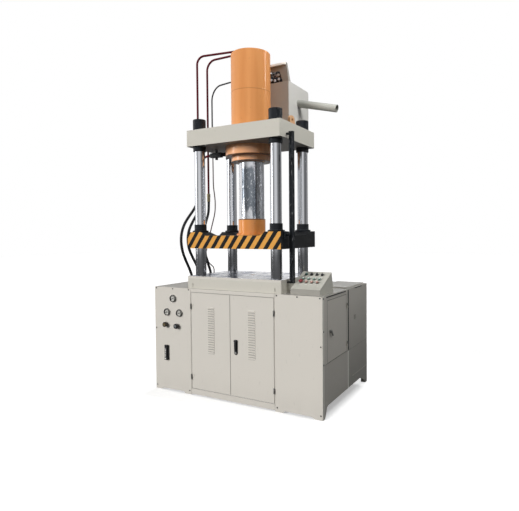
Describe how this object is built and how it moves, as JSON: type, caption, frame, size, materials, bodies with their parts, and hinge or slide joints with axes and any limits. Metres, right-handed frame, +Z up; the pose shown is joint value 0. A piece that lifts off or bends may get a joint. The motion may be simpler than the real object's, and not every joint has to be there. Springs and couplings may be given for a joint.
{
  "type": "four-column hydraulic press",
  "caption": "Four-column hydraulic press with a top cylinder, moving platen, drilled table, overhead oil tank, sloped control desk and cabinet base with doors.",
  "frame": {"origin": "on the floor, under the axis of the main cylinder, on the underside of the sole bar", "axes": "+Z up along the ram, +X to the right seen from the front, +Y to the rear"},
  "size_m": [1.975, 1.2759, 3.581],
  "materials": {
    "cream_paint": "satin warm light grey paint",
    "frame_paint": "satin warm grey paint",
    "orange_paint": "gloss orange paint",
    "black_paint": "satin black paint",
    "hazard_paint": "black paint, orange and black diagonal stripes in front",
    "ground_steel": "ground, bare",
    "chromed_steel": "hard chrome, polished",
    "dark_steel": "black oxide",
    "zinc_steel": "zinc plated",
    "red_pipe": "dark red gloss paint",
    "brass_fitting": "machined",
    "black_rubber": "matt",
    "black_plastic": "matt",
    "green_plastic": "gloss",
    "red_plastic": "gloss",
    "gauge_case": "polished rim, white dial",
    "gauge_window": "clear column in a dark body",
    "motor_paint": "satin"
  },
  "bodies": {
    "press_frame": {"base_frame": "frame_paint", "bed": "cream_paint", "breather_tube": "cream_paint", "centre_surround": "cream_paint", "column_nuts": "black_paint", "columns": "chromed_steel", "console": "cream_paint", "crown": "cream_paint", "cylinder_body": "orange_paint", "cylinder_gland": "orange_paint", "ejector_cylinder": "orange_paint", "electric_plate": "zinc_steel", "front_panels": "cream_paint", "gauges": "gauge_case", "gland_bolts": "dark_steel", "hose_inner": "black_rubber", "hose_outer": "black_rubber", "hose_return": "black_rubber", "left_cabinet": "cream_paint", "lifting_lugs": "orange_paint", "oil_level_gauge": "gauge_window", "oil_pipes": "red_pipe", "panel_screws": "dark_steel", "pilot_line": "red_pipe", "pipe_fittings": "brass_fitting", "prefill_valve": "dark_steel", "pump_unit": "motor_paint", "right_cabinet": "cream_paint", "right_side_wall": "cream_paint", "switch_rail": "black_paint", "table_plate": "ground_steel", "tank_hood": "cream_paint", "top_tank": "cream_paint"},
    "press_head": {"platen": "hazard_paint", "ram": "chromed_steel", "ram_collar": "orange_paint", "guide_bushes": "black_paint", "striker": "black_paint"},
    "left_door": {"left_door": "cream_paint"},
    "right_door": {"right_door": "cream_paint"},
    "door_handle": {"door_handle": "black_plastic"},
    "side_door": {"side_door": "cream_paint"},
    "side_handle": {"side_handle": "zinc_steel"},
    "emergency_stop": {"emergency_stop": "red_plastic"},
    "selector_1": {"selector_1": "black_plastic"},
    "start_button_1": {"start_button_1": "green_plastic"},
    "selector_2": {"selector_2": "black_plastic"},
    "start_button_2": {"start_button_2": "green_plastic"},
    "selector_3": {"selector_3": "black_plastic"},
    "start_button_3": {"start_button_3": "green_plastic"},
    "selector_4": {"selector_4": "black_plastic"},
    "start_button_4": {"start_button_4": "green_plastic"},
    "stop_button_1": {"stop_button_1": "red_plastic"},
    "needle_1": {"needle_1": "black_paint"},
    "stop_button_2": {"stop_button_2": "red_plastic"},
    "needle_2": {"needle_2": "black_paint"},
    "stop_button_3": {"stop_button_3": "red_plastic"},
    "needle_3": {"needle_3": "black_paint"},
    "valve_knob_1": {"valve_knob_1": "black_plastic"},
    "valve_knob_2": {"valve_knob_2": "black_plastic"}
  },
  "joints": [
    {"name": "press_stroke", "type": "slide", "parent": "press_frame", "child": "press_head", "axis": [0, 0, 1], "range_m": [-0.25, 0.45]},
    {"name": "left_door_hinge", "type": "hinge", "parent": "press_frame", "child": "left_door", "pos_m": [-0.4855, -0.4245, 0.5], "axis": [0, 0, 1], "range_deg": [-110, 0]},
    {"name": "right_door_hinge", "type": "hinge", "parent": "press_frame", "child": "right_door", "pos_m": [0.4875, -0.4245, 0.5], "axis": [0, 0, 1], "range_deg": [0, 110]},
    {"name": "door_handle_pivot", "type": "hinge", "parent": "right_door", "child": "door_handle", "pos_m": [0.0625, -0.43, 0.617], "axis": [1, 0, 0], "range_deg": [-60, 0]},
    {"name": "side_door_hinge", "type": "hinge", "parent": "press_frame", "child": "side_door", "pos_m": [0.9845, 0.1865, 0.75], "axis": [0, 0, 1], "range_deg": [0, 110]},
    {"name": "side_handle_turn", "type": "hinge", "parent": "side_door", "child": "side_handle", "pos_m": [0.977, -0.245, 0.768], "axis": [1, 0, 0], "range_deg": [-90, 0]},
    {"name": "emergency_stop_press", "type": "slide", "parent": "press_frame", "child": "emergency_stop", "axis": [0, -0.4498, 0.8931], "range_m": [-0.003, 0], "stiffness_N_per_m": 900, "springref_m": 0.002},
    {"name": "selector_1_turn", "type": "hinge", "parent": "press_frame", "child": "selector_1", "pos_m": [0.687, -0.12229, 1.25815], "axis": [0, -0.4498, 0.8931], "range_deg": [-45, 45]},
    {"name": "selector_2_turn", "type": "hinge", "parent": "press_frame", "child": "selector_2", "pos_m": [0.742, -0.12229, 1.25815], "axis": [0, -0.4498, 0.8931], "range_deg": [-45, 45]},
    {"name": "selector_3_turn", "type": "hinge", "parent": "press_frame", "child": "selector_3", "pos_m": [0.797, -0.12229, 1.25815], "axis": [0, -0.4498, 0.8931], "range_deg": [-45, 45]},
    {"name": "selector_4_turn", "type": "hinge", "parent": "press_frame", "child": "selector_4", "pos_m": [0.852, -0.12229, 1.25815], "axis": [0, -0.4498, 0.8931], "range_deg": [-45, 45]},
    {"name": "start_button_1_press", "type": "slide", "parent": "press_frame", "child": "start_button_1", "axis": [0, -0.4498, 0.8931], "range_m": [-0.003, 0], "stiffness_N_per_m": 600, "springref_m": 0.002},
    {"name": "start_button_2_press", "type": "slide", "parent": "press_frame", "child": "start_button_2", "axis": [0, -0.4498, 0.8931], "range_m": [-0.003, 0], "stiffness_N_per_m": 600, "springref_m": 0.002},
    {"name": "start_button_3_press", "type": "slide", "parent": "press_frame", "child": "start_button_3", "axis": [0, -0.4498, 0.8931], "range_m": [-0.003, 0], "stiffness_N_per_m": 600, "springref_m": 0.002},
    {"name": "start_button_4_press", "type": "slide", "parent": "press_frame", "child": "start_button_4", "axis": [0, -0.4498, 0.8931], "range_m": [-0.003, 0], "stiffness_N_per_m": 600, "springref_m": 0.002},
    {"name": "stop_button_1_press", "type": "slide", "parent": "press_frame", "child": "stop_button_1", "axis": [0, -0.4498, 0.8931], "range_m": [-0.003, 0], "stiffness_N_per_m": 600, "springref_m": 0.002},
    {"name": "stop_button_2_press", "type": "slide", "parent": "press_frame", "child": "stop_button_2", "axis": [0, -0.4498, 0.8931], "range_m": [-0.003, 0], "stiffness_N_per_m": 600, "springref_m": 0.002},
    {"name": "stop_button_3_press", "type": "slide", "parent": "press_frame", "child": "stop_button_3", "axis": [0, -0.4498, 0.8931], "range_m": [-0.003, 0], "stiffness_N_per_m": 600, "springref_m": 0.002},
    {"name": "needle_1_turn", "type": "hinge", "parent": "press_frame", "child": "needle_1", "pos_m": [-0.724, -0.43, 0.984], "axis": [0, 1, 0], "range_deg": [0, 230], "stiffness_Nm_per_rad": 0.002},
    {"name": "needle_2_turn", "type": "hinge", "parent": "press_frame", "child": "needle_2", "pos_m": [-0.807, -0.43, 0.836], "axis": [0, 1, 0], "range_deg": [0, 230], "stiffness_Nm_per_rad": 0.002},
    {"name": "needle_3_turn", "type": "hinge", "parent": "press_frame", "child": "needle_3", "pos_m": [-0.641, -0.43, 0.836], "axis": [0, 1, 0], "range_deg": [0, 230], "stiffness_Nm_per_rad": 0.002},
    {"name": "valve_knob_1_turn", "type": "hinge", "parent": "press_frame", "child": "valve_knob_1", "pos_m": [-0.822, -0.43, 0.704], "axis": [0, 1, 0], "continuous": true},
    {"name": "valve_knob_2_turn", "type": "hinge", "parent": "press_frame", "child": "valve_knob_2", "pos_m": [-0.671, -0.43, 0.698], "axis": [0, 1, 0], "continuous": true}
  ]
}
